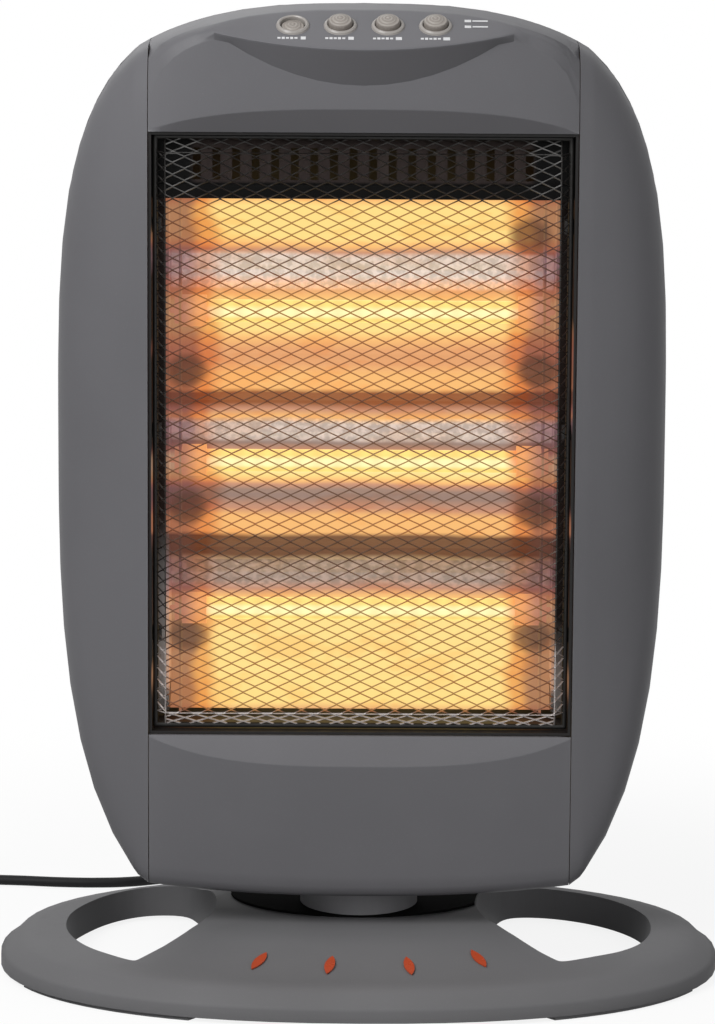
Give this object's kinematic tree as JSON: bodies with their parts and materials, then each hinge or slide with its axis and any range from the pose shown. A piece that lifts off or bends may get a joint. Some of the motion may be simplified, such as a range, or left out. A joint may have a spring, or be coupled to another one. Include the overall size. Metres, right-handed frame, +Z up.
{
  "type": "halogen heater",
  "caption": "Upright quartz tube heater with a rounded head on an oval swivel base with two openings, wire guard, push buttons on top and a mains cord",
  "frame": {"origin": "on the floor under the centre of the base", "axes": "+Z up, the heater's front faces -Y, +X to the right seen from the front"},
  "size_m": [0.6074, 0.3691, 0.5235],
  "materials": {
    "base_grey": "satin moulded",
    "black_cover": "plain",
    "foot_rubber": "dull",
    "insert_orange": "glossy",
    "ballast_steel": "raw",
    "screw_steel": "zinc plated",
    "motor_steel": "plated",
    "nylon_white": "natural nylon",
    "switch_black": "plain",
    "plug_black": "dull",
    "cord_black": "dull sheathing",
    "pin_brass": "nickel plated",
    "shell_grey": "satin moulded",
    "yoke_steel": "pressed, plated",
    "back_grey": "fine textured",
    "handle_dark": "fine textured",
    "frame_black": "black paint",
    "reflector_alu": "bright rolled",
    "bracket_steel": "plain sheet",
    "quartz": "clear quartz",
    "heating_wire": "glowing resistance wire",
    "cap_ceramic": "matt",
    "guard_wire": "dark coated wire",
    "bezel_grey": "satin",
    "button_grey": "satin",
    "thermostat_brown": "phenolic",
    "chassis_steel": "zinc plated sheet"
  },
  "bodies": {
    "base": {"base_shell": "base_grey", "base_cover": "black_cover", "foot_strips": "foot_rubber", "base_inserts": "insert_orange", "ballast_plate": "ballast_steel", "base_screws": "screw_steel", "swivel_deck": "black_cover", "swing_motor": "motor_steel", "tip_switch": "switch_black", "base_terminal": "nylon_white", "cord_gland": "plug_black", "mains_cord": "cord_black", "cord_coil": "cord_black", "cord_tail": "cord_black", "plug_body": "plug_black", "plug_pins": "pin_brass", "bearing_ring": "nylon_white"},
    "head": {"turntable_collar": "shell_grey", "yoke_plate": "yoke_steel", "collar_screws": "screw_steel", "bottom_panel": "shell_grey", "top_panel": "shell_grey", "left_wing": "shell_grey", "right_wing": "shell_grey", "rear_shell": "back_grey", "rear_panel": "back_grey", "carry_handle": "handle_dark", "shell_screws": "screw_steel", "inner_frame": "frame_black", "vent_grille": "frame_black", "reflector": "reflector_alu", "lamp_brackets": "bracket_steel", "quartz_tubes": "quartz", "heating_wires": "heating_wire", "end_caps": "cap_ceramic", "lamp_leads": "pin_brass", "wire_guard": "guard_wire", "guard_rim": "guard_wire", "guard_clips": "screw_steel", "button_bezels": "bezel_grey", "switch_block": "switch_black", "thermal_cutout": "thermostat_brown", "terminal_block": "nylon_white", "chassis_rails": "chassis_steel", "heat_shield": "bracket_steel"},
    "crank": {"crank_disc": "nylon_white"},
    "tip_plunger": {"tip_plunger": "nylon_white"},
    "button_1": {"button_1": "button_grey"},
    "button_2": {"button_2": "button_grey"},
    "button_3": {"button_3": "button_grey"},
    "button_4": {"button_4": "button_grey"}
  },
  "joints": [
    {"name": "head_swing", "type": "hinge", "parent": "base", "child": "head", "pos_m": [0, 0.012, 0], "axis": [0, 0, 1], "range_deg": [-35, 35]},
    {"name": "crank_turn", "type": "hinge", "parent": "base", "child": "crank", "pos_m": [0, 0.042, 0], "axis": [0, 0, 1], "range_deg": [-103.4, 103.4]},
    {"name": "tip_plunger_slide", "type": "slide", "parent": "base", "child": "tip_plunger", "axis": [0, 0, 1], "range_m": [-0.003, 0], "stiffness_N_per_m": 60},
    {"name": "button_1_press", "type": "slide", "parent": "head", "child": "button_1", "axis": [0, -0.4695, 0.8829], "range_m": [0, 0.0042], "stiffness_N_per_m": 200},
    {"name": "button_2_press", "type": "slide", "parent": "head", "child": "button_2", "axis": [0, -0.4695, 0.8829], "range_m": [-0.0042, 0], "stiffness_N_per_m": 200},
    {"name": "button_3_press", "type": "slide", "parent": "head", "child": "button_3", "axis": [0, -0.4695, 0.8829], "range_m": [-0.0042, 0], "stiffness_N_per_m": 200},
    {"name": "button_4_press", "type": "slide", "parent": "head", "child": "button_4", "axis": [0, -0.4695, 0.8829], "range_m": [-0.0042, 0], "stiffness_N_per_m": 200}
  ],
  "couplings": [
    {"joint": "crank_turn", "follows": "head_swing", "ratio": 2.95}
  ]
}
